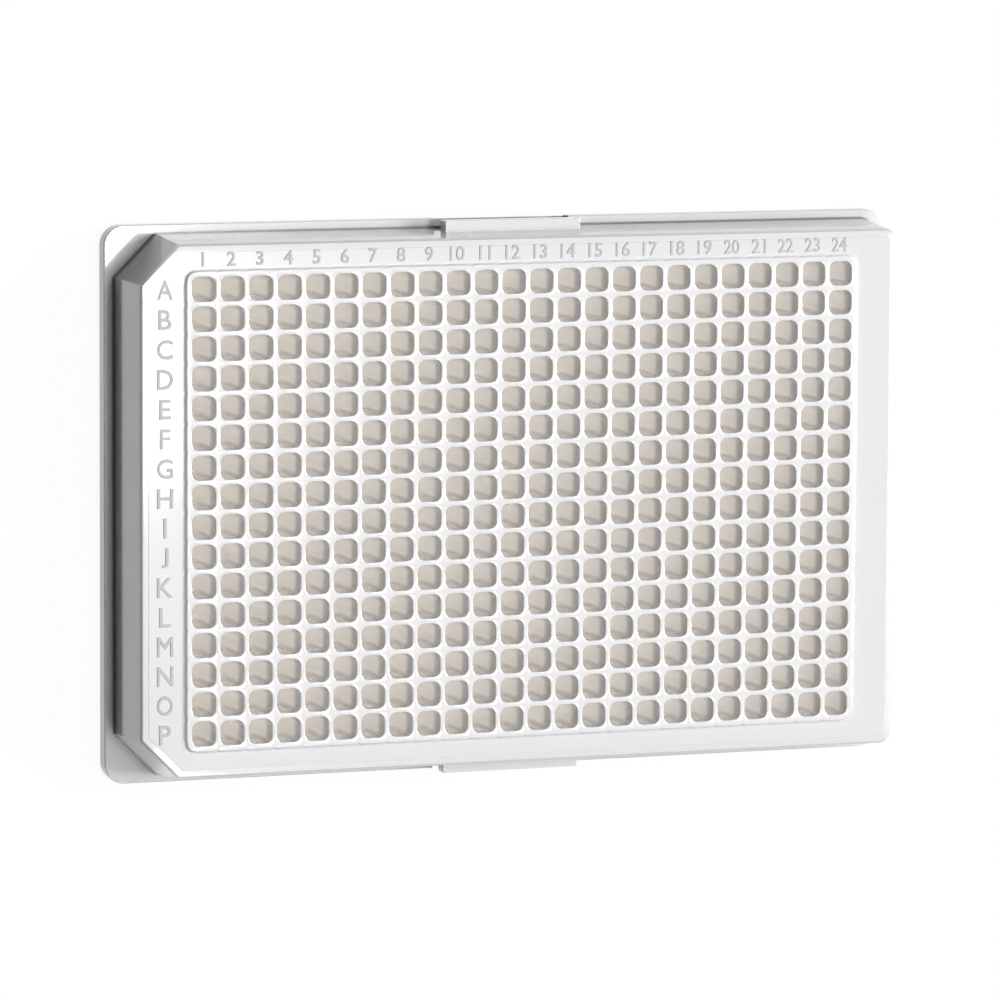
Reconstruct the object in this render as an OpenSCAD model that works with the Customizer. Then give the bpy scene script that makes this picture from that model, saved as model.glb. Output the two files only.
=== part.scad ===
// 384-well microplate, moulded in one piece of white polystyrene. It stands on its flange with
// the wells open upwards. The origin is the middle of the footprint, at bench level: X runs
// along the columns, away from column 1, Y runs towards row A, and Z is up.

/* [Footprint] */
// Length of the footprint, along the columns
plate_length = 127.76; // [122:0.01:160]
// Width of the footprint, across the rows
plate_width = 85.48; // [82:0.01:120]
// Height of the well rims above the bench
plate_height = 14.35; // [11.5:0.05:20]
// Radius of the footprint's corners
footprint_radius = 3.18; // [2:0.01:6]

/* [Flange] */
// Height of the flange
flange_height = 2.41; // [1.8:0.01:3]
// Thickness of the flange's upright wall
flange_wall = 1.2; // [0.8:0.05:1.4]
// Width of the ledge on top of the flange, on the short sides
ledge_end = 1.5; // [1.2:0.05:2.5]
// Width of the ledge on top of the flange, on the long sides
ledge_side = 1.35; // [1.2:0.05:2]
// Length of the raised bridge in the middle of each long side
bridge_length = 22; // [8:0.5:40]
// Height of the bridge's top above the bench
bridge_top = 7.62; // [6.5:0.01:9]
// Height of the bridge from its underside to its top
bridge_depth = 2.41; // [1.5:0.01:3]

/* [Walls and deck] */
// How far each side wall leans outwards, from the deck down to the flange
wall_lean = 0.82; // [0.2:0.01:1.2]
// Thickness of the side walls
side_wall = 1.2; // [0.8:0.05:1.8]
// Thickness of the deck and of the ledge
deck_thickness = 1.2; // [0.8:0.05:1.4]
// Width of the sloping border round the deck
border_width = 0.9; // [0.3:0.05:1.5]
// Fall of the sloping border, from the deck to its edge
border_fall = 0.12; // [0.05:0.01:0.4]
// Bevel between the border and the side walls
edge_bevel = 0.4; // [0.2:0.05:0.8]
// Length of the 45 degree corner cuts at A1 and P1, along each side
corner_cut = 6; // [4:0.1:8]
// Radius of the deck's two uncut corners, inside the sloping border
corner_radius = 0.6; // [0.4:0.05:1.5]

/* [Wells] */
// Number of columns
columns = 24; // [2:1:24]
// Number of rows
rows = 16; // [2:1:16]
// Distance between the middles of neighbouring wells
pitch = 4.5; // [3.5:0.05:4.6]
// Thickness of the wall between two wells
well_wall = 0.8; // [0.5:0.05:1.2]
// How far each side of a well draws in, from its mouth down to its floor
well_draft = 0.15; // [0.05:0.01:0.25]
// Radius of the upright corners inside a well
well_radius = 1; // [0.6:0.05:1.2]
// Thickness of the well floors
well_floor = 1; // [0.6:0.05:1.5]
// Gap between the underside of the well floors and the bench
floor_lift = 1.85; // [1:0.05:2.5]
// Rise of the well rims above the deck
rim_rise = 0.55; // [0.3:0.05:1]
// Width of the rim outside the outermost wells
rim_border = 0.95; // [0.7:0.05:1.5]
// Radius of the corners of the rim field
rim_radius = 1.6; // [0.5:0.1:3]
// Diameter of the dimple where four rims meet, and of the nicks round the field
dimple = 0.5; // [0.3:0.05:1]

/* [Ribs] */
// Thickness of the ribs between the well block and the side walls
rib_thickness = 1; // [0.6:0.05:1.5]
// Gap between the ribs and the bench
rib_lift = 4; // [3:0.1:8]

/* [Hidden] */
$fn = 48;

// Cutters reach this far past the faces that they open
past = 1;
// Parts of the moulding run this far into each other
merge = 0.4;

// Heights of the deck and of what lies under its edge
deck_top = plate_height - rim_rise;
deck_under = deck_top - deck_thickness;
bevel_top = deck_top - border_fall;
wall_top = bevel_top - edge_bevel;
ledge_under = flange_height - deck_thickness;
floor_top = floor_lift + well_floor;

// Outline of the side walls at their top
body_length = plate_length - 2 * (ledge_end + wall_lean);
body_width = plate_width - 2 * (ledge_side + wall_lean);

// How far the outer face of the long side walls lies from the middle, where it meets the flange
wall_foot = body_width / 2 + wall_lean;

// The shafts that round the wells' corners are wider than the mouths by this much
shaft_margin = 0.04;

// Mouth of a well, and the block that the wells are sunk into
mouth_size = pitch - well_wall;
shaft_size = mouth_size + shaft_margin;
well_depth = plate_height - floor_top;
cutter_height = well_depth + past;
cutter_floor = mouth_size - 2 * well_draft;
cutter_top = cutter_floor + 2 * well_draft * cutter_height / well_depth;
field_length = columns * pitch - well_wall + 2 * rim_border;
field_width = rows * pitch - well_wall + 2 * rim_border;

// Ribs stand on the lines between wells: four on each long side, two on each short side
long_rib_lines = [-2, -1, 1, 2] * floor(columns / 5);
short_rib_lines = [-1, 1] * floor(rows / 4);

// How far the side walls lean out for each millimetre down, and in all at a height z
wall_slope = wall_lean / (wall_top - flange_height);
function lean_at(z) = wall_slope * (wall_top - z);

// Rectangle with round corners
module round_rect(length, width, radius) {
  arm_x = length - 2 * radius;
  arm_y = width - 2 * radius;
  square([length, arm_y], center = true);
  square([arm_x, width], center = true);
  for (x = [-1, 1], y = [-1, 1])
    translate([x * arm_x / 2, y * arm_y / 2])
      circle(radius);
}

// Bar along Y whose two sides lean out by lean on their way down: length is its size at the top
module leaning_bar(length, lean, run, height) {
  top = length / 2;
  foot = top + lean;
  rotate([90, 0, 0])
    linear_extrude(run, center = true)
      polygon([[-foot, 0], [foot, 0], [top, height], [-top, height]]);
}

// Block whose four sides lean out on their way down, with cones as its corners
module leaning_block(length, width, radius, lean, height) {
  arm_x = length - 2 * radius;
  arm_y = width - 2 * radius;
  leaning_bar(length, lean, arm_y, height);
  rotate(90)
    leaning_bar(width, lean, arm_x, height);
  for (x = [-1, 1], y = [-1, 1])
    translate([x * arm_x / 2, y * arm_y / 2, 0])
      cylinder(r1 = radius + lean, r2 = radius, h = height);
}

// What a 45 degree corner cut takes off a leaning block, at the corner towards -X and side * Y
module corner_wedge(length, width, cut, slope, height, side) {
  reach = 3 * cut + height;
  translate([(cut - length) / 2, side * (width - cut) / 2, height])
    rotate([0, 0, side * 135])
      rotate([0, -atan(slope), 0])
        translate([0, -reach, -reach])
          cube(2 * reach);
}

// Block with the body's outline, moved inwards by inset at its top and leaning out by slope for
// each millimetre down
module outline_block(inset, slope, bottom, top) {
  height = top - bottom;
  length = body_length - 2 * inset;
  width = body_width - 2 * inset;
  radius = corner_radius + border_width + edge_bevel - inset;
  // A 45 degree face that moves inwards with its neighbours has a shorter leg
  cut = corner_cut - inset * (2 - sqrt(2));
  translate([0, 0, bottom])
    difference() {
      leaning_block(length, width, radius, slope * height, height);
      for (side = [-1, 1])
        corner_wedge(length, width, cut, slope, height, side);
    }
}

// Outside of the body: what the side walls, the bevel and the sloping border all enclose
module body_outside() {
  intersection() {
    outline_block(-lean_at(deck_top), wall_slope, ledge_under, deck_top);
    outline_block(edge_bevel + border_fall, 1, ledge_under, deck_top);
    outline_block(edge_bevel + border_width, border_width / border_fall, ledge_under, deck_top);
  }
}

// Hollow under the deck, up to the side walls, which opens into the flange
module body_inside() {
  outline_block(side_wall - lean_at(deck_under), wall_slope, ledge_under - merge, deck_under);
}

module flange_outside() {
  linear_extrude(flange_height)
    round_rect(plate_length, plate_width, footprint_radius);
}

module flange_inside() {
  translate([0, 0, -past])
    linear_extrude(ledge_under + past)
      round_rect(
        plate_length - 2 * flange_wall,
        plate_width - 2 * flange_wall,
        footprint_radius - flange_wall
      );
}

// Places its children on the long side towards row A, and again on the one towards row P
module on_long_sides() {
  for (turn = [0, 180])
    rotate(turn)
      children();
}

// Raised length of the flange, out from the side wall to the edge of the footprint
module bridge() {
  back = body_width / 2 + lean_at(bridge_top) - merge;
  translate([-bridge_length / 2, back, bridge_top - bridge_depth])
    cube([bridge_length, plate_width / 2 - back, bridge_depth]);
}

// Gap under a bridge, open to the outside and to the bench
module bridge_gap() {
  translate([-bridge_length / 2, wall_foot, -past])
    cube([bridge_length, plate_width / 2 - wall_foot + past, flange_height + 2 * past]);
}

// Wall that closes the flange behind a bridge's gap and at its two ends
module bridge_backing() {
  back = wall_foot - side_wall;
  length = bridge_length + 2 * side_wall;
  translate([-length / 2, back, -2 * past])
    cube([length, plate_width / 2 - back, ledge_under + 3 * past]);
}

// Ribs from the well block to a side wall, on the given lines between wells: block and wall are
// how far those two lie from the middle of the plate
module ribs(lines, block, wall) {
  start = block / 2 - merge;
  for (line = lines)
    translate([line * pitch - rib_thickness / 2, start, rib_lift])
      cube([rib_thickness, wall / 2 - start, plate_height]);
}

// Flange and body as a thin shell, with a window in the deck for the well block
module shell() {
  difference() {
    union() {
      flange_outside();
      body_outside();
    }
    difference() {
      union() {
        flange_inside();
        body_inside();
      }
      on_long_sides() {
        bridge_backing();
        ribs(long_rib_lines, field_width, body_width);
      }
      rotate(90)
        on_long_sides()
          ribs(short_rib_lines, field_length, body_length);
    }
    on_long_sides()
      bridge_gap();
    translate([0, 0, deck_under - past])
      linear_extrude(deck_thickness + 2 * past)
        round_rect(field_length - 2 * merge, field_width - 2 * merge, rim_radius - merge);
  }
}

// Middle of a column or of a row, counted from 1, out of so many
function middle(number, count) = (number - (count + 1) / 2) * pitch;

// Bars that run over each column, or each row, and narrow towards the well floors
module draft_bars(count, run) {
  for (number = [1 : count])
    translate([middle(number, count), 0, floor_top])
      leaning_bar(cutter_top, cutter_floor / 2 - cutter_top / 2, run, cutter_height);
}

// Every well at once: where the bars over the columns cross the bars over the rows, trimmed by
// round-cornered shafts that are a little wider than the mouths
module wells() {
  intersection() {
    draft_bars(columns, field_width);
    rotate(90)
      draft_bars(rows, field_length);
    translate([0, 0, floor_top])
      linear_extrude(cutter_height)
        for (column = [1 : columns], row = [1 : rows])
          translate([middle(column, columns), middle(row, rows)])
            round_rect(shaft_size, shaft_size, well_radius);
  }
}

// Dimples lie where four rims meet, and nicks where two rims meet the edge of the field
module dimple_outlines() {
  for (i = [0 : columns], j = [0 : rows]) {
    edge_x = i == 0 || i == columns;
    edge_y = j == 0 || j == rows;
    x = edge_x ? sign(i - columns / 2) * field_length / 2 : (i - columns / 2) * pitch;
    y = edge_y ? sign(j - rows / 2) * field_width / 2 : (j - rows / 2) * pitch;
    if (!(edge_x && edge_y))
      translate([x, y])
        circle(dimple / 2);
  }
}

// Block that the wells are sunk into, from under their floors to the deck, and the rims on it
module well_block() {
  translate([0, 0, floor_lift])
    linear_extrude(deck_top - floor_lift)
      round_rect(field_length, field_width, rim_radius);
  translate([0, 0, deck_top])
    linear_extrude(rim_rise)
      difference() {
        round_rect(field_length, field_width, rim_radius);
        dimple_outlines();
      }
}

module well_plate() {
  color("white")
    difference() {
      union() {
        shell();
        on_long_sides()
          bridge();
        well_block();
      }
      wells();
    }
}

well_plate();
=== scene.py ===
# %% [markdown]
# # A 384-well plate, moulded in white polystyrene
#
# The plate is one injection moulding: a deck with 384 small square wells, side walls that lean
# inwards as they rise, and a flange that it stands on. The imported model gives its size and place.
# It could be shown as it is, but the small roundings that catch the light would be missing. So
# the moulding is made again here with them, and it gets its raised letters and numbers, its
# glossy plastic and a softly lit white table.

# %% Load the frame
import math

import bmesh
import bpy
from mathutils import Matrix, Vector


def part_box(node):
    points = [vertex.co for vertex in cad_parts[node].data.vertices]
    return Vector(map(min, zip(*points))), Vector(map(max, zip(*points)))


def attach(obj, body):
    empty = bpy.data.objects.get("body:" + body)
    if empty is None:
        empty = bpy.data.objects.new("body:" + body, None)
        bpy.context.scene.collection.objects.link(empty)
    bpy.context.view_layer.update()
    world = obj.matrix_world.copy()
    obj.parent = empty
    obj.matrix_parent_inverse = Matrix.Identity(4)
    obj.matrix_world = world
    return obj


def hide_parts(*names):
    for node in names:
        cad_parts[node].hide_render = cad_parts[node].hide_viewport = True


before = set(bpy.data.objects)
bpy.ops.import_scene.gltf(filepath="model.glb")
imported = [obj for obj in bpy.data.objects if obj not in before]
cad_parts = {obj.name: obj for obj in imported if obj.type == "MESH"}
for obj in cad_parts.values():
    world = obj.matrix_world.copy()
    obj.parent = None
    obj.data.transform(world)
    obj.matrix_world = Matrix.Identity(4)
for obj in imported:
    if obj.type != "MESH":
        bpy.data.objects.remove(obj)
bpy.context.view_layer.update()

MM = 0.001
TINY = 0.01 * MM
plate_low, plate_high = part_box("well_plate")
plate_length = plate_high.x - plate_low.x
plate_width = plate_high.y - plate_low.y
plate_height = plate_high.z
print("the plate in mm:", [round(side / MM, 2) for side in (plate_length, plate_width, plate_height)])

# %% [markdown]
# ## Helpers for modelling by hand in code
#
# Blender's mesh operators act on what is selected. One helper starts every piece from a plain
# face with nothing else selected, one picks vertices, edges or faces by where they are, and one
# steps a face in or out and up or down, which is how most of a moulding's profile is made.

# %% Start a piece, pick its parts
def start_face(name, length, width, height):
    """A new piece: one flat face, centred, at a height, left in edit mode with all of it selected."""
    bpy.ops.object.select_all(action="DESELECT")
    bpy.ops.mesh.primitive_plane_add(size=1, location=(0, 0, height))
    piece = bpy.context.object
    piece.name = name
    piece.data.name = name
    piece.scale = (length, width, 1)
    bpy.ops.object.transform_apply(location=True, rotation=False, scale=True)
    bpy.ops.object.mode_set(mode="EDIT")
    bpy.ops.mesh.select_all(action="SELECT")
    return piece


def pick(kind, test):
    """Selects the vertices, edges or faces that pass the test, and returns how many there are."""
    bpy.ops.mesh.select_mode(type=kind)
    bpy.ops.mesh.select_all(action="DESELECT")
    mesh = bmesh.from_edit_mesh(bpy.context.edit_object.data)
    parts = {"VERT": mesh.verts, "EDGE": mesh.edges, "FACE": mesh.faces}[kind]
    chosen = [part for part in parts if test(part)]
    for part in chosen:
        part.select_set(True)
    bmesh.update_edit_mesh(bpy.context.edit_object.data)
    return len(chosen)


def select_open_edge():
    """Selects the edges that have a face on one side only."""
    bpy.ops.mesh.select_all(action="DESELECT")
    bpy.ops.mesh.select_mode(type="EDGE")
    bpy.ops.mesh.select_non_manifold(extend=False, use_wire=False, use_multi_face=False,
                                     use_non_contiguous=False, use_verts=False)


def finish_piece(piece):
    """Leaves edit mode and turns every face outwards."""
    bpy.ops.mesh.select_all(action="SELECT")
    bpy.ops.mesh.remove_doubles(threshold=TINY / 10)
    bpy.ops.mesh.normals_make_consistent(inside=False)
    bpy.ops.object.mode_set(mode="OBJECT")
    print(piece.name, "has", len(piece.data.polygons), "faces")
    return piece


# %% Round corners, step a profile
def round_corners(test, radius, segments):
    """Rounds the corners of a flat face that pass the test, or cuts them with one segment."""
    pick("VERT", test)
    bpy.ops.mesh.bevel(offset=radius, offset_type="OFFSET", segments=segments, profile=0.5,
                       affect="VERTICES")
    bpy.ops.mesh.select_mode(type="FACE")
    bpy.ops.mesh.select_all(action="SELECT")


def step_face(inwards, up):
    """Steps the selected face in by one distance and along its normal by another."""
    bpy.ops.mesh.inset(thickness=inwards, depth=up, use_even_offset=True)


def quarter_round(radius, steps, turn=1):
    """The steps, inwards and along, that round an edge over a quarter of a circle. They start
    along the wall and end along the face, and with turn -1 the other way."""
    angles = [math.pi / 2 * i / steps for i in range(steps + 1)]
    along = [radius * math.sin(angle) for angle in angles]
    inwards = [radius * (1 - math.cos(angle)) for angle in angles]
    moves = [(inwards[i + 1] - inwards[i], along[i + 1] - along[i]) for i in range(steps)]
    return moves if turn > 0 else [move[::-1] for move in moves]


# %% [markdown]
# ## One well
#
# A well is a square shaft with round upright corners, a softened lip and a softened floor. It
# narrows a little towards its floor, so that the plate lets go of the mould. It could be cut out
# of a block with a boolean, but 384 cuts leave long thin faces round every mouth. Here one
# well is modelled from its mouth down, by stepping one face in and down, and its rim is pulled
# out to a square cell, so that cells laid side by side close up without a seam.

# %% Model one well
COLUMNS, ROWS = 24, 16
pitch = 4.5 * MM
wall_between_wells = 0.8 * MM
corner_radius = 1.0 * MM
lip_radius = 0.2 * MM
draft = 0.15 * MM
floor_radius = 0.35 * MM
floor_height = 2.85 * MM
corner_segments = 3

mouth = pitch - wall_between_wells
lip = mouth + 2 * lip_radius
lip_corner = corner_radius + lip_radius

well = start_face("wells", lip, lip, plate_height)
round_corners(lambda vertex: True, lip_corner, corner_segments)

# The lip is a quarter round that starts flat and ends upright
for inwards, down in quarter_round(lip_radius, 2, turn=-1):
    step_face(inwards, -down)
straight_depth = plate_height - floor_height - lip_radius - floor_radius
step_face(draft, -straight_depth)
step_face(floor_radius, -floor_radius)
print("the wells are", round((plate_height - floor_height) / MM, 2), "mm deep")

# %% Pull its rim out to a square cell
dimple = 0.3 * MM


def on_cell_edge(place):
    """Where a point of the lip goes on the edge of its cell, whose corners are cut off for the
    dimples."""
    far, near = max(abs(place.x), abs(place.y)), min(abs(place.x), abs(place.y))
    half = pitch / 2
    side = half - dimple if near > far / 2 else near
    x, y = (half, side) if abs(place.x) > abs(place.y) else (side, half)
    return Vector((math.copysign(x, place.x), math.copysign(y, place.y), place.z))


select_open_edge()
bpy.ops.mesh.extrude_region_move()
cell = bmesh.from_edit_mesh(well.data)
for vertex in [vertex for vertex in cell.verts if vertex.select]:
    vertex.co = on_cell_edge(vertex.co)
bmesh.update_edit_mesh(well.data)
finish_piece(well)

# %% [markdown]
# ## The field of wells
#
# On the real plate the wells share their walls, and a soft dimple lies where four rims meet. The
# cells could be copied and joined one by one. Two arrays do it in two steps: they lay the cells
# out in 24 columns and 16 rows, 4.5 mm apart, and merge them where they meet. Where four rims
# meet, a small four-sided hole is left: it is filled, and the middle of the new face is pressed
# down into the dimple.

# %% Lay out the columns and rows
def apply_modifier(piece, kind, **settings):
    """Adds a modifier with its settings and applies it at once."""
    bpy.ops.object.select_all(action="DESELECT")
    bpy.context.view_layer.objects.active = piece
    piece.select_set(True)
    modifier = piece.modifiers.new(kind.lower(), kind)
    for name, value in settings.items():
        setattr(modifier, name, value)
    bpy.ops.object.modifier_apply(modifier=modifier.name)


def lay_out(piece, axis, count):
    """Repeats a cell along an axis, in both directions from the middle of the plate."""
    step = Vector((0, 0, 0))
    step[axis] = pitch
    apply_modifier(piece, "ARRAY", count=count, use_relative_offset=False, use_constant_offset=True,
                   constant_offset_displace=step, use_merge_vertices=True, merge_threshold=TINY)
    for vertex in piece.data.vertices:
        vertex.co[axis] -= (count - 1) * pitch / 2


lay_out(well, 0, COLUMNS)
lay_out(well, 1, ROWS)
print("the field has", len(well.data.polygons), "faces")

# %% Fill and press the dimples
dimple_depth = 0.08 * MM


def is_filled_hole(face):
    """Whether a face is one of the filled holes: a square at the top, standing on its corner."""
    middle = face.calc_center_median()
    reaches = [(vertex.co - middle).length for vertex in face.verts]
    return (len(reaches) == 4 and middle.z > plate_height - TINY
            and all(abs(reach - dimple) < 2 * TINY for reach in reaches))


bpy.ops.object.mode_set(mode="EDIT")
bpy.ops.mesh.select_all(action="SELECT")
bpy.ops.mesh.fill_holes(sides=4)
holes = pick("FACE", is_filled_hole)
bpy.ops.mesh.normals_make_consistent(inside=False)
bpy.ops.mesh.poke(offset=-dimple_depth)
print("dimples:", holes)

# %% [markdown]
# ## The rim round the field, and the block below
#
# Outside the outermost wells the rim is a little wider. Its edge is rounded, its foot slopes out
# to the deck, and small nicks carry on the pattern of the dimples. Below the deck the wells are
# sunk into one solid block. The rim could be a frame of its own, joined by a boolean, but thin
# faces would be left along the seam. All of this follows from the field's open edge instead: it
# is extruded ring by ring, and each new ring is placed outwards and down from the last.

# %% Grow rings from the field's open edge
rim_border = 0.95 * MM
rim_corner = 1.6 * MM
rim_edge = 0.28 * MM
rim_slope = 0.4 * MM
rim_rise = 0.55 * MM
deck_height = plate_height - rim_rise
block_bottom = 1.85 * MM
field_half = Vector((COLUMNS * pitch - wall_between_wells, ROWS * pitch - wall_between_wells)) / 2
field_half += Vector((rim_border, rim_border))
corner_middle = field_half - Vector((rim_corner, rim_corner))


def add_ring(place):
    """Extrudes the field's open edge and puts each new vertex where place says."""
    select_open_edge()
    bpy.ops.mesh.extrude_region_move()
    field = bmesh.from_edit_mesh(well.data)
    for vertex in [vertex for vertex in field.verts if vertex.select]:
        vertex.co = place(vertex.co)
    bmesh.update_edit_mesh(well.data)


def outwards(point):
    """The way out of the field at a point of its edge: square to a side, or round a corner."""
    beyond = Vector((abs(point.x) - corner_middle.x, abs(point.y) - corner_middle.y, 0))
    if beyond.x < 0:
        beyond.x = 0
    elif beyond.y < 0:
        beyond.y = 0
    beyond.normalize()
    return Vector((math.copysign(beyond.x, point.x), math.copysign(beyond.y, point.y), 0))


def ring_step(out, down):
    """One more ring, outwards and down from the last."""
    add_ring(lambda point: point + outwards(point) * out - Vector((0, 0, down)))


# %% Grow the rim
nick_depth = 0.12 * MM
nick_end = 0.25 * MM


def onto_rim(point):
    """Moves the cells' outer edge out to where the rim starts to round off. Where two cells meet,
    their cut corners stay back a little and make a nick."""
    near_corner = abs(point.x) > corner_middle.x and abs(point.y) > corner_middle.y
    if not near_corner:
        axis = 0 if abs(point.x) > corner_middle.x else 1
        cell_edge = (COLUMNS, ROWS)[axis] * pitch / 2
        nick = nick_depth if abs(point[axis]) < cell_edge - dimple / 2 else 0
        moved = point.copy()
        moved[axis] = math.copysign(field_half[axis] - rim_edge - nick, point[axis])
        return moved
    along_x = abs(point.x) < abs(point.y) + field_half.x - field_half.y
    angle = math.radians(60 if along_x else 30)
    reach = rim_corner - rim_edge
    x = corner_middle.x + reach * math.cos(angle)
    y = corner_middle.y + reach * math.sin(angle)
    return Vector((math.copysign(x, point.x), math.copysign(y, point.y), point.z))


add_ring(onto_rim)
for inwards, down in quarter_round(rim_edge, 3, turn=-1):
    ring_step(inwards, down)
ring_step(rim_slope, rim_rise - rim_edge)
ring_step(0, nick_end)
rim_foot = field_half + Vector((rim_slope, rim_slope))
print("the rim's foot is", [round(side / MM, 2) for side in rim_foot], "mm from the plate's middle")

# %% Close the nicks and the block
block_edge = 0.3 * MM


def onto_block(point):
    """A nick's point goes out to the side of the block, a little lower; the others go down."""
    inside = rim_foot.x - abs(point.x), rim_foot.y - abs(point.y)
    x, y = point.x, point.y
    if min(inside) > TINY and not (abs(x) > corner_middle.x and abs(y) > corner_middle.y):
        if inside[0] < inside[1]:
            x = math.copysign(rim_foot.x, x)
        else:
            y = math.copysign(rim_foot.y, y)
    return Vector((x, y, point.z - nick_end))


add_ring(onto_block)
ring_step(0, deck_height - 2 * nick_end - block_bottom - block_edge)
for inwards, down in quarter_round(block_edge, 2):
    ring_step(-inwards, down)
select_open_edge()
bpy.ops.mesh.edge_face_add()
finish_piece(well)
print("the block's lowest point in mm:", round(min(v.co.z for v in well.data.vertices) / MM, 2))

# %% [markdown]
# ## The deck, the side walls and the flange
#
# The body is a low block whose walls lean in as they rise, with two corners cut at 45 degrees so
# that the plate can't be laid in the wrong way round. A box with bevelled edges could stand for
# it, but its bevels would not lean with the walls. So one face is stepped up from the foot: the
# leaning wall, a narrow bevel with softened edges, a sloping border and the flat deck. Insets
# keep every step parallel to the outline, cut corners included. The flange and the hollows are
# made the same way, and booleans then put them together as the two halves of a mould would.

# %% Outlines of the body
ledge_end = 1.5 * MM
ledge_side = 1.35 * MM
wall_lean = 0.82 * MM
wall_thickness = 1.2 * MM
flange_height = 2.41 * MM
flange_wall = 1.2 * MM
deck_thickness = 1.2 * MM
bevel_in = 0.4 * MM
bevel_up = 0.46 * MM
border_width = 0.9 * MM
border_fall = 0.12 * MM
corner_cut = 6.0 * MM
far_corner = 1.9 * MM
footprint_radius = 3.18 * MM
past = 1.0 * MM

ledge_under = flange_height - deck_thickness
deck_under = deck_height - deck_thickness
wall_top = deck_height - border_fall - bevel_up
wall_height = wall_top - ledge_under
foot_length = plate_length - 2 * ledge_end
foot_width = plate_width - 2 * ledge_side
full_lean = wall_lean * wall_height / (wall_top - flange_height)
cut_growth = 2 - math.sqrt(2)
print("the walls rise", round((wall_top - flange_height) / MM, 2), "mm from the ledge and lean",
      round(wall_lean / MM, 2), "mm")


def body_face(name, grow, height):
    """The body's outline at its foot, moved outwards by grow: cut corners at column 1, round ones
    at column 24."""
    piece = start_face(name, foot_length + 2 * grow, foot_width + 2 * grow, height)
    round_corners(lambda vertex: vertex.co.x > 0, far_corner + wall_lean + grow, 6)
    round_corners(lambda vertex: vertex.co.x < -foot_length / 2 - grow + TINY,
                  corner_cut + cut_growth * (wall_lean + grow), 1)
    return piece


def close_below(piece):
    """Closes the open side that stepping a face upwards leaves, and finishes the piece."""
    select_open_edge()
    bpy.ops.mesh.edge_face_add()
    return finish_piece(piece)


# %% Step up the body
# The bevel's own edges are softened by a small step before it and one after it
bevel_steps = ((0.06, 0.16), (0.8, 0.76), (0.14, 0.08))
crease = 0.05 * MM

body = body_face("plate_moulding", full_lean - wall_lean, ledge_under)
step_face(full_lean, wall_height)
for inwards, up in bevel_steps:
    step_face(inwards * bevel_in, up * bevel_up)
step_face(border_width - crease, border_fall - crease)
step_face(crease, crease)
close_below(body)

# %% Step up the flange and the hollows
flange_edge = 0.2 * MM


def footprint_face(name, inset, height):
    """The outline of the plate's foot, with its four round corners, moved in by inset."""
    piece = start_face(name, plate_length - 2 * inset, plate_width - 2 * inset, height)
    round_corners(lambda vertex: True, footprint_radius - inset, 8)
    return piece


flange = footprint_face("flange", 0, 0)
step_face(0, flange_height - flange_edge)
for inwards, up in quarter_round(flange_edge, 3):
    step_face(inwards, up)
close_below(flange)

flange_hollow = footprint_face("flange_hollow", flange_wall, -past)
step_face(0, ledge_under + past)
close_below(flange_hollow)

overlap = 0.4 * MM
body_hollow = body_face("body_hollow", full_lean - wall_lean - wall_thickness,
                        ledge_under - overlap)
step_face(full_lean, deck_under - ledge_under + overlap)
close_below(body_hollow)

# %% [markdown]
# ## Putting the moulding together
#
# The real plate is one solid, so every part has to become one with the next. The shell could be
# made by giving the outside a thickness, but its hollow has ribs and a deck of its own
# thickness, so the hollow is taken away as a solid. Each boolean is a modifier that is applied
# at once. The window in the deck is a little smaller than the field of wells, so that the two
# grow into each other and leave no gap. In the middle of each long side the flange is
# interrupted, and a bridge stands out from the wall above the gap: a gripper or a lid clip
# reaches in there.

# %% Booleans
def combine(piece, other, operation):
    """Adds the other solid to the piece or takes it away, and removes the other."""
    apply_modifier(piece, "BOOLEAN", object=other, operation=operation, solver="MANIFOLD")
    bpy.data.objects.remove(other)


def block(name, low, high, edge=0):
    """A box between two corners, with its edges rounded where an edge radius is given."""
    bpy.ops.object.select_all(action="DESELECT")
    bpy.ops.mesh.primitive_cube_add(size=1, location=[(a + b) / 2 for a, b in zip(low, high)])
    piece = bpy.context.object
    piece.name = name
    piece.scale = [b - a for a, b in zip(low, high)]
    bpy.ops.object.transform_apply(location=True, rotation=False, scale=True)
    if edge:
        bpy.ops.object.mode_set(mode="EDIT")
        bpy.ops.mesh.select_all(action="SELECT")
        bpy.ops.mesh.bevel(offset=edge, segments=2, affect="EDGES")
        bpy.ops.object.mode_set(mode="OBJECT")
    return piece


def both_sides(name, low, high, edge=0):
    """The same box on one side of the plate and, turned half round, on the opposite side."""
    first = block(name, low, high, edge)
    turned_low, turned_high = [-high[0], -high[1], low[2]], [-low[0], -low[1], high[2]]
    return first, block(name + "_opposite", turned_low, turned_high, edge)


# %% Join the flange and open it below
bridge_half = 11.0 * MM
bridge_top = 7.62 * MM
bridge_under = bridge_top - flange_height
bridge_edge = 0.15 * MM
merge = 0.4 * MM
wall_foot = foot_width / 2
edge_y = plate_width / 2

combine(body, flange, "UNION")
backing_half = bridge_half + wall_thickness
for row_side in both_sides("backing", (-backing_half, wall_foot - wall_thickness, -2 * past),
                           (backing_half, edge_y + past, ledge_under + past)):
    combine(flange_hollow, row_side, "DIFFERENCE")
combine(body, flange_hollow, "DIFFERENCE")
print("the body on its flange has", len(body.data.polygons), "faces")

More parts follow.
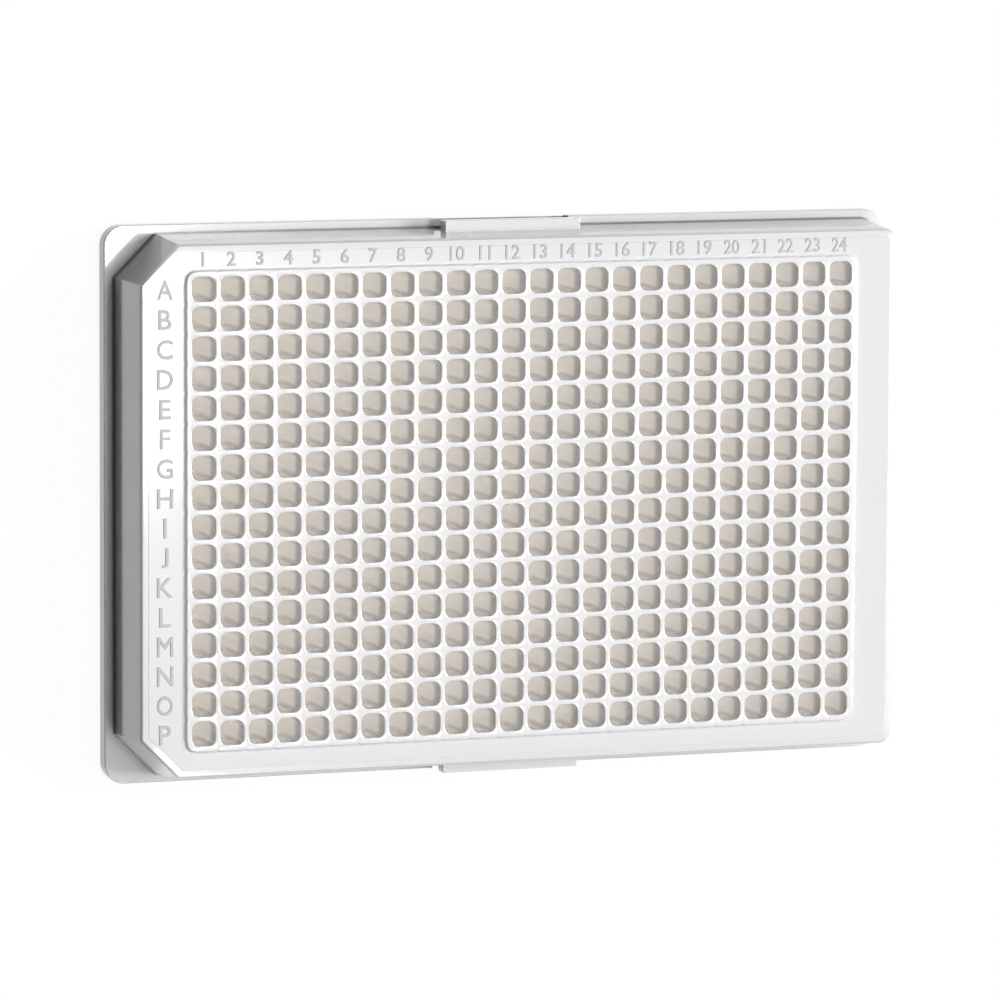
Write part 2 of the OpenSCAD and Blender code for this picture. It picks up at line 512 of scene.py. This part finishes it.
# %% Hollow the body round its ribs
# Ribs stay in the hollow between the wells and the walls, on the lines between two wells
rib_half = 0.5 * MM
rib_lift = 4.0 * MM
ribs_at_columns = (-8, -4, 4, 8)
ribs_at_rows = (-4, 4)
for line in ribs_at_columns:
    for rib in both_sides("rib", (line * pitch - rib_half, field_half.y - merge, rib_lift),
                          (line * pitch + rib_half, edge_y, plate_height)):
        combine(body_hollow, rib, "DIFFERENCE")
for line in ribs_at_rows:
    for rib in both_sides("rib", (field_half.x - merge, line * pitch - rib_half, rib_lift),
                          (plate_length / 2, line * pitch + rib_half, plate_height)):
        combine(body_hollow, rib, "DIFFERENCE")
combine(body, body_hollow, "DIFFERENCE")
print("the hollow body has", len(body.data.polygons), "faces")

# %% Open the deck, cut the gaps and add the bridges and the wells
window = start_face("window", 2 * (field_half.x - merge), 2 * (field_half.y - merge),
                    deck_under - past)
round_corners(lambda vertex: True, rim_corner - merge, 4)
step_face(0, deck_thickness + 2 * past)
close_below(window)
combine(body, window, "DIFFERENCE")

for gap in both_sides("gap", (-bridge_half, wall_foot, -past),
                      (bridge_half, edge_y + past, flange_height + past)):
    combine(body, gap, "DIFFERENCE")
for bridge in both_sides("bridge", (-bridge_half, wall_foot - merge - wall_lean, bridge_under),
                         (bridge_half, edge_y, bridge_top), edge=bridge_edge):
    combine(body, bridge, "UNION")
combine(body, well, "UNION")
print("the moulding has", len(body.data.polygons), "faces and",
      sum(len(face.vertices) - 2 for face in body.data.polygons), "triangles")

# %% [markdown]
# ## Smooth and sharp edges
#
# On the moulding the large faces are flat, and the bends lie in narrow roundings between them.
# Shading everything as one curve would swell the flat faces, and more faces in each rounding
# would make the mesh heavy. So faces that meet at less than 40 degrees are shaded as one curve,
# the rest stay sharp, and weighted normals let the large flat faces keep their own direction.

# %% Shade the moulding
bpy.ops.object.select_all(action="DESELECT")
body.select_set(True)
bpy.context.view_layer.objects.active = body
smooth_below = math.radians(40)
bpy.ops.object.shade_smooth_by_angle(angle=smooth_below)
apply_modifier(body, "WEIGHTED_NORMAL", mode="FACE_AREA", weight=50, keep_sharp=True)
print("sharp edges:", sum(edge.use_edge_sharp for edge in body.data.edges))
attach(body, "root")
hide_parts("well_plate")

# %% [markdown]
# ## Raised letters and numbers
#
# The rows are lettered A to P and the columns numbered 1 to 24, raised a tenth of a millimetre
# from the deck with slanting edges. They could be drawn in the material, but raised marks also
# catch the light from the side. Each mark is a text object with a bevel. It is made a mesh,
# scaled to its height on the plate and set in line with its row or column, and the marks of one
# kind are joined.

# %% Set the marks
letter_height = 3.0 * MM
number_height = 2.2 * MM
letter_line = 5.95 * MM
number_line = 4.5 * MM
mark_rise = 0.1 * MM
mark_sink = 0.05 * MM
mark_bevel = 0.065 * MM
mark_width = 2.6 * MM
font_height = 0.73
letter_stretch = 1.05
number_stretch = 1.0
first_column = -(COLUMNS - 1) * pitch / 2
first_row = (ROWS - 1) * pitch / 2


def raised_mark(text, height, stretch, x, y):
    """One letter or number as a low mesh on the deck, with its middle at x, y."""
    bpy.ops.object.select_all(action="DESELECT")
    bpy.ops.object.text_add()
    mark = bpy.context.object
    size = height / font_height
    mark.data.body = text
    mark.data.size = size
    mark.data.align_x = "CENTER"
    mark.data.resolution_u = 3
    mark.data.extrude = (mark_rise + mark_sink) / 2 - mark_bevel
    mark.data.bevel_depth = mark_bevel
    mark.data.bevel_resolution = 0
    bpy.ops.object.convert(target="MESH")
    low = [min(v.co[i] for v in mark.data.vertices) for i in range(2)]
    high = [max(v.co[i] for v in mark.data.vertices) for i in range(2)]
    stretch = min(stretch, mark_width / (high[0] - low[0]))
    for vertex in mark.data.vertices:
        vertex.co.x = x + (vertex.co.x - (low[0] + high[0]) / 2) * stretch
        vertex.co.y = y + (vertex.co.y - (low[1] + high[1]) / 2) * height / (high[1] - low[1])
        vertex.co.z += deck_height + (mark_rise - mark_sink) / 2
    return mark


def join_marks(name, marks):
    """Makes the marks one piece that rides on the plate."""
    bpy.ops.object.select_all(action="DESELECT")
    for mark in marks:
        mark.select_set(True)
    bpy.context.view_layer.objects.active = marks[0]
    bpy.ops.object.join()
    marks[0].name = name
    marks[0].data.name = name
    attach(marks[0], "root")
    print(name, "has", len(marks[0].data.polygons), "faces")
    return marks[0]


letters = [raised_mark(chr(ord("A") + row), letter_height, letter_stretch,
                       first_column - letter_line, first_row - row * pitch)
           for row in range(ROWS)]
numbers = [raised_mark(str(column + 1), number_height, number_stretch,
                       first_column + column * pitch, first_row + number_line)
           for column in range(COLUMNS)]
row_letters = join_marks("row_letters", letters)
column_numbers = join_marks("column_numbers", numbers)

# %% [markdown]
# ## Shader maths that can be read
#
# A mask, such as "near the foot of the wall and just above the ledge", takes many Math nodes.
# They could be added and linked one at a time, but nobody could read the result. So a small
# class wraps the output of a node and takes part in Python expressions: each operator adds its
# own Math node, and one method adds every other kind of node.

# %% Shader maths as expressions
def maths_operator(operation, reflected=False):
    """A method that adds one Math node, with its two values swapped when it is reflected."""
    def apply(self, other=0.0):
        first, second = (other, self) if reflected else (self, other)
        return self.node("ShaderNodeMath", settings={"operation": operation},
                         inputs={0: first, 1: second})
    return apply


class Value:
    """An output of a node, which takes part in expressions like a number."""

    def __init__(self, tree, socket=None):
        self.tree = tree
        self.socket = socket

    def node(self, kind, output=0, settings=None, inputs=None):
        """Adds a node of a type, with its settings first, and then values or links of its sockets."""
        node = self.tree.nodes.new(kind)
        for name, value in (settings or {}).items():
            setattr(node, name, value)
        for name, value in (inputs or {}).items():
            self.feed(node.inputs[name], value)
        return Value(self.tree, node.outputs[output] if node.outputs else None)

    def feed(self, socket, value):
        """Links a value to a socket, or sets the socket to a plain number or colour."""
        if isinstance(value, Value):
            self.tree.links.new(value.socket, socket)
        else:
            socket.default_value = value

    __add__ = maths_operator("ADD")
    __radd__ = maths_operator("ADD", reflected=True)
    __sub__ = maths_operator("SUBTRACT")
    __rsub__ = maths_operator("SUBTRACT", reflected=True)
    __mul__ = maths_operator("MULTIPLY")
    __rmul__ = maths_operator("MULTIPLY", reflected=True)
    __truediv__ = maths_operator("DIVIDE")
    __mod__ = maths_operator("FLOORED_MODULO")
    __gt__ = maths_operator("GREATER_THAN")
    __lt__ = maths_operator("LESS_THAN")
    __abs__ = maths_operator("ABSOLUTE")
    root = maths_operator("SQRT")
    larger = maths_operator("MAXIMUM")

    def ramp(self, low, high):
        """Goes smoothly from 0 at low to 1 at high."""
        return self.node("ShaderNodeMapRange", settings={"interpolation_type": "SMOOTHSTEP"},
                         inputs={"Value": self, "From Min": low, "From Max": high})

    def noise(self, size, detail=2.0):
        """Noise from 0 to 1 with features of a size in metres, on this vector."""
        return self.node("ShaderNodeTexNoise",
                         inputs={"Vector": self, "Scale": 1 / size, "Detail": detail})


# A Mix node has sockets of the same name for every kind of data. These are the ones for colours
MIX_FIRST, MIX_SECOND, MIX_OUTPUT = 6, 7, 2


def mix_colours(factor, first, second):
    """A colour between two others, by a factor from 0 to 1."""
    first, second = (colour if isinstance(colour, Value) else (*colour, 1)
                     for colour in (first, second))
    return factor.node("ShaderNodeMix", output=MIX_OUTPUT, settings={"data_type": "RGBA"},
                       inputs={"Factor": factor, MIX_FIRST: first, MIX_SECOND: second})


def new_material(name):
    """A material with no nodes yet, and a value that its nodes are added from."""
    material = bpy.data.materials.new(name)
    material.use_nodes = True
    material.node_tree.nodes.clear()
    return material, Value(material.node_tree)


def object_place(start):
    """The place on the piece, in metres from the middle of the plate's foot: as a vector, and its
    x, y and z."""
    place = start.node("ShaderNodeTexCoord", output="Object")
    x, y, z = (start.node("ShaderNodeSeparateXYZ", output=axis, inputs={0: place})
               for axis in range(3))
    return place, x, y, z


# %% [markdown]
# ## White polystyrene
#
# The plastic is opaque, nearly white and polished by the mould. One flat colour would look
# computed, so noise in a few sizes gives slow streaks where the plastic flowed, a very fine
# ripple, and scuffs where lids and hands have rubbed. Masks that are worked out from the place on
# the plate do what noise can't, and some of them paint light and shade. The wells are painted
# lighter and warmer towards their floors, which stands in for the warm light that bounces down a
# well, and a faint painted glow deeper down stands in for light that seeps through the thin walls
# between the wells. Two walls of each well, towards column 24 and row P, are painted darker near
# the mouth, which is painted shade. The rims are a shade lighter than the deck, and the crease
# between the foot of the wall and the ledge of the flange is painted dark, which is painted shade.

# %% Where the plastic changes
foot_cut = corner_cut + cut_growth * wall_lean
foot_corner = far_corner + wall_lean
root_half = math.sqrt(0.5)
seep_starts, seep_full = 1.2 * MM, 3.2 * MM
wall_fade = 0.55 * MM
dark_to_column_24 = (1.9 * MM, 3.4 * MM)
dark_to_row_p = (6 * MM, 10 * MM)


def well_masks(x, y, z):
    """How deep down a well a point is, how much painted glow stands in for light that seeps through
    there, and how much painted shade darkens the upper walls towards column 24 and row P, each from 0
    to 1."""
    in_field = (abs(x) < field_half.x - rim_border / 2) * (abs(y) < field_half.y - rim_border / 2)
    in_wells = in_field * (z > floor_height - 0.1 * MM)
    depth = 1 - z.ramp(floor_height, plate_height - lip_radius)
    seep = 1 - z.ramp(plate_height - seep_full, plate_height - seep_starts)

    # Cells start at whole pitches, so what is left over from a pitch is the place in the cell
    below_rim = plate_height - z
    to_column_24 = (x % pitch).ramp(pitch - 2 * wall_fade, pitch - wall_fade)
    to_row_p = 1 - (y % pitch).ramp(wall_fade, 2 * wall_fade)
    wall_shade_painted = (to_column_24 * (1 - below_rim.ramp(*dark_to_column_24))).larger(
        to_row_p * (1 - below_rim.ramp(*dark_to_row_p)))
    below_lip = below_rim.ramp(0.1 * MM, 0.4 * MM)
    return depth * in_wells, seep * in_wells, wall_shade_painted * below_lip * in_wells


def crease_painted_shade_mask(x, y, z):
    """Painted shade in the crease: 1 where the foot of the wall meets the ledge, fading out over the
    ledge and up the wall. The distance from the foot is the largest of those from its round end, its
    cut end and its cuts."""
    past_end = (x - foot_length / 2 + foot_corner).larger(0)
    past_side = (abs(y) - foot_width / 2 + foot_corner).larger(0)
    beyond_round = (past_end * past_end + past_side * past_side).root() - foot_corner
    beyond_end = -foot_length / 2 - x
    beyond_cuts = (abs(y) - x - (foot_length + foot_width) / 2 + foot_cut) * root_half
    from_foot = beyond_round.larger(beyond_end).larger(beyond_cuts)
    above_ledge = z - flange_height
    at_foot = (from_foot > -0.3 * MM) * (above_ledge > -0.05 * MM)
    fades_out = 1 - from_foot.ramp(0.0, 0.35 * MM)
    fades_up = 1 - above_ledge.ramp(0.4 * MM, 2.2 * MM)
    return at_foot * fades_out * fades_up


# %% The plastic
STREAK_SIZE = 9 * MM
SPECK_SIZE = 0.5 * MM
SCRATCH_WIDTH = 0.12 * MM
RUBBED_PATCH = 7 * MM
RIPPLE_SIZE = 1.6 * MM
FINE_RIPPLE_SIZE = 0.25 * MM
PLASTIC_LIGHT = (0.93, 0.93, 0.94)
PLASTIC_DARK = (0.90, 0.90, 0.91)
PLASTIC_RIM = (0.975, 0.975, 0.985)
# Painted light: the wells' colour, lighter and warmer than the deck, for light bounced down a well
WELL_PAINTED_BOUNCE_LIGHT = (0.985, 0.972, 0.955)
# Painted shade for the crease at the foot of the wall
PAINTED_CREASE_SHADE = (0.3, 0.3, 0.31)
# Painted shade for the upper walls of the wells towards column 24 and row P
WELL_WALL_PAINTED_SHADE = (0.58, 0.57, 0.56)
# Painted glow: an emission in the wells for light that seeps through their thin walls
WELL_PAINTED_SEEP_GLOW = (0.070, 0.0645, 0.0573)
NO_LIGHT = (0.0, 0.0, 0.0)


def white_polystyrene():
    plastic, start = new_material("white_polystyrene")
    place, x, y, z = object_place(start)

    # The colour: streaks along the flow and fine specks, then the tone of the rims, the wells painted
    # lighter and warmer as painted bounce light, and painted shade in the crease and on two upper
    # walls of each well
    along_flow = start.node("ShaderNodeMapping", inputs={"Vector": place, "Scale": (0.25, 1, 1)})
    streaks = along_flow.noise(STREAK_SIZE, 3.0)
    specks = place.noise(SPECK_SIZE, 1.0)
    flat = mix_colours(streaks * 0.5 + specks * 0.2, PLASTIC_LIGHT, PLASTIC_DARK)
    on_rims = z.ramp(deck_height + 0.2 * MM, deck_height + 0.45 * MM)
    depth, seep, wall_shade_painted = well_masks(x, y, z)
    # Painted light: the wells' colour grows lighter and warmer towards the floor, for light bounced
    # down a well
    clean = mix_colours(depth, mix_colours(on_rims, flat, PLASTIC_RIM), WELL_PAINTED_BOUNCE_LIGHT)
    # Painted shade: the crease at the foot of the wall is painted dark
    with_crease_shade = mix_colours(crease_painted_shade_mask(x, y, z), clean, PAINTED_CREASE_SHADE)
    # Painted shade: two upper walls of each well are painted darker near the mouth
    colour = mix_colours(wall_shade_painted, with_crease_shade, WELL_WALL_PAINTED_SHADE)

    # Scuffs on the rims and the deck, where hands and lids rub
    scuffs = start.node("ShaderNodeMapping",
                        inputs={"Vector": place, "Rotation": (0, 0, 0.6), "Scale": (0.12, 1, 1)})
    scratches = scuffs.noise(SCRATCH_WIDTH, 2.0).ramp(0.62, 0.75)
    on_top = z.ramp(deck_height - 0.2 * MM, deck_height)
    rubbed = on_top * place.noise(RUBBED_PATCH, 3.0).ramp(0.45, 0.8)
    worn = scratches * rubbed
    roughness = 0.16 + streaks * 0.08 + worn * 0.18

    ripple = place.noise(RIPPLE_SIZE, 2.0) * 0.7 + place.noise(FINE_RIPPLE_SIZE, 1.0) * 0.15
    bump = start.node("ShaderNodeBump",
                      inputs={"Height": ripple - worn * 0.3, "Strength": 0.12, "Distance": 0.05 * MM})
    # The emission is a painted glow deep in the wells, for light that seeps through their thin walls
    surface = start.node("ShaderNodeBsdfPrincipled", inputs={
        "Base Color": colour, "Roughness": roughness, "Normal": bump, "IOR": 1.59,
        "Coat Weight": 1.0, "Coat Roughness": 0.06,
        "Emission Color": mix_colours(seep, NO_LIGHT, WELL_PAINTED_SEEP_GLOW), "Emission Strength": 1.0})
    start.node("ShaderNodeOutputMaterial", inputs={"Surface": surface})
    plastic.cycles.emission_sampling = "NONE"
    return plastic


def give_material(material, *pieces):
    """Makes a material the only one of each piece."""
    for piece in pieces:
        piece.data.materials.clear()
        piece.data.materials.append(material)
    print(material.name, "has", len(material.node_tree.nodes), "nodes")


give_material(white_polystyrene(), body)

# %% [markdown]
# ## The marks' matt finish and painted shade
#
# Where the marks are, the steel of the mould is etched, so their faces come out matt. Their colour
# is painted grey beside the polished deck, a painted shade for the shade on the raised marks. The
# moulding's own material could do this with one more mask, but the marks are pieces of their own,
# so a second, simpler material is easier to change.

# %% Matt plastic, painted grey
# Painted shade: the marks' grey colour stands in for the shade on the raised strokes
MARK_PAINTED_SHADE_LIGHT = (0.70, 0.70, 0.715)
MARK_PAINTED_SHADE_DARK = (0.62, 0.62, 0.635)


def matt_polystyrene_painted_shade():
    matt_marks_material, start = new_material("matt_polystyrene_painted_shade")
    place = start.node("ShaderNodeTexCoord", output="Object")
    grain = place.noise(0.3 * MM, 2.0)
    bump = start.node("ShaderNodeBump",
                      inputs={"Height": grain, "Strength": 0.3, "Distance": 0.02 * MM})
    # The grey base colour is painted shade; the matt roughness is the etched finish
    surface = start.node("ShaderNodeBsdfPrincipled", inputs={
        "Base Color": mix_colours(grain, MARK_PAINTED_SHADE_LIGHT, MARK_PAINTED_SHADE_DARK), "Roughness": 0.55 + grain * 0.2,
        "Normal": bump, "IOR": 1.59})
    start.node("ShaderNodeOutputMaterial", inputs={"Surface": surface})
    return matt_marks_material


give_material(matt_polystyrene_painted_shade(), row_letters, column_numbers)

# %% [markdown]
# ## The table
#
# The plate lies on a plain white table. A table lit to pure white would need lamps that wash out
# a white plate, so Light Path tells the rays apart instead: the camera and mirror-like
# reflections see a white glow with a little of the lit surface in it, which keeps the plate's
# shadow, and soft bounced light sees a darker surface, so that the side walls keep their depth.
# Under the plate nothing glows, so that the gaps in the flange look into the dark.

# %% Make the table
TABLE_SEEN = (0.9, 0.9, 0.9)
TABLE_BOUNCE = (0.12, 0.12, 0.12)
TABLE_GLOW = 0.9
covered_inset = 0.2 * MM


def white_table():
    white, start = new_material("white_table")
    place, x, y, z = object_place(start)
    seen = start.node("ShaderNodeLightPath", output="Is Camera Ray")
    mirrored = (start.node("ShaderNodeLightPath", output="Is Glossy Ray")
                + start.node("ShaderNodeLightPath", output="Is Transmission Ray"))
    grain = place.noise(4 * MM, 2.0)
    past_x = (abs(x) - plate_length / 2 + footprint_radius).larger(0)
    past_y = (abs(y) - plate_width / 2 + footprint_radius).larger(0)
    covered = (past_x * past_x + past_y * past_y).root() < footprint_radius - covered_inset
    matte = start.node("ShaderNodeBsdfDiffuse", inputs={
        "Color": mix_colours(seen, TABLE_BOUNCE, TABLE_SEEN), "Roughness": 0.9})
    glow = start.node("ShaderNodeEmission", inputs={"Color": (1, 1, 1, 1), "Strength": 1.04})
    share = (seen * TABLE_GLOW + mirrored * (0.98 + grain * 0.02)) * (1 - covered)
    surface = start.node("ShaderNodeMixShader", inputs={0: share, 1: matte, 2: glow})
    start.node("ShaderNodeOutputMaterial", inputs={"Surface": surface})
    return white


bpy.ops.object.select_all(action="DESELECT")
bpy.ops.mesh.primitive_plane_add(size=6, location=(0, 0, 0))
table = bpy.context.object
table.name = "table"
give_material(white_table(), table)

# %% [markdown]
# ## Studio light
#
# Soft light from above shows a white plate best when one side gets more of it than the other. It
# could come from a bright world all round, but then the wells would have no shadows. So four soft
# boxes give it: one overhead, a stronger one low on the right, which lights one wall of every
# well, and two weak ones that fill the corners. The world adds hardly any light: it is white to
# the camera and faint in reflections, so that the glossy coat isn't veiled.

# %% The soft boxes
LAMP_DISTANCE = 1.3
SOFT_BOXES = {
    "overhead_box": {"azimuth": 0, "elevation": 82, "size": 0.3, "strength": 0.78},
    "right_box": {"azimuth": 5, "elevation": 43, "size": 0.5, "strength": 2.0},
    "front_right_box": {"azimuth": -72, "elevation": 68, "size": 0.3, "strength": 0.45},
    "back_right_box": {"azimuth": 60, "elevation": 65, "size": 0.3, "strength": 0.38},
}


def soft_box(name, azimuth, elevation, size, strength):
    """A square lamp that faces the plate from a direction. Its strength is the irradiance that
    it gives on a face turned to it at the plate, so that 3.14 renders a white matte face as white."""
    turn, rise = math.radians(azimuth), math.radians(elevation)
    way = Vector((math.cos(turn) * math.cos(rise), math.sin(turn) * math.cos(rise), math.sin(rise)))
    lamp = bpy.data.lights.new(name, "AREA")
    lamp.shape = "SQUARE"
    lamp.size = size
    lamp.energy = strength * math.pi * LAMP_DISTANCE ** 2
    light = bpy.data.objects.new(name, lamp)
    light.location = Vector((0, 0, plate_height)) + way * LAMP_DISTANCE
    light.rotation_euler = (-way).to_track_quat("-Z", "Y").to_euler()
    bpy.context.scene.collection.objects.link(light)
    print(name, "gives", round(lamp.energy, 2), "W")


for name, setting in SOFT_BOXES.items():
    soft_box(name, **setting)

# %% The world
WORLD_FILL = 0.015
WORLD_MIRRORED = 0.15

world = bpy.data.worlds.new("studio")
bpy.context.scene.world = world
world.use_nodes = True
world.node_tree.nodes.clear()
start = Value(world.node_tree)
looked_at = (start.node("ShaderNodeLightPath", output="Is Camera Ray")
             + start.node("ShaderNodeLightPath", output="Is Transmission Ray"))
mirrored = start.node("ShaderNodeLightPath", output="Is Glossy Ray")
strength = WORLD_FILL + looked_at * (1 - WORLD_FILL) + mirrored * WORLD_MIRRORED
room = start.node("ShaderNodeBackground", inputs={"Color": (1, 1, 1, 1), "Strength": strength})
start.node("ShaderNodeOutputWorld", inputs={"Surface": room})
print("the world has", len(world.node_tree.nodes), "nodes")

# %% [markdown]
# ## The camera
#
# The plate is looked at from above with a long lens, so that its sides stay almost parallel. A
# Track To constraint could aim the camera, but a fixed turn is easier to check: it is built from
# the way the camera looks, and a small roll is added round that way. Light is let bounce more
# often than usual, because it is deep in the white wells that many bounces show.

# %% Place the camera
CAMERA_PLACE = Vector((-343.25, 118.27, 952.2)) * MM
CAMERA_AIM = Vector((-4.35 * MM, 0.27 * MM, plate_height))
CAMERA_ROLL = math.radians(0.306)
PLATE_UP = Vector((0, 1, 0))

camera_data = bpy.data.cameras.new("camera")
camera_data.lens = 236.1
camera_data.sensor_width = 36
camera_data.clip_start = 0.05
camera_data.clip_end = 20
camera = bpy.data.objects.new("camera", camera_data)
bpy.context.scene.collection.objects.link(camera)
bpy.context.scene.camera = camera
camera.location = CAMERA_PLACE
back = (CAMERA_PLACE - CAMERA_AIM).normalized()
right = PLATE_UP.cross(back).normalized()
level = Matrix((right, back.cross(right), back)).transposed()
camera.rotation_euler = (level @ Matrix.Rotation(CAMERA_ROLL, 3, "Z")).to_euler()
print("the camera is", round((CAMERA_PLACE - CAMERA_AIM).length, 3), "m from the plate")

bpy.context.scene.view_settings.view_transform = "Standard"
bpy.context.scene.cycles.diffuse_bounces = 12
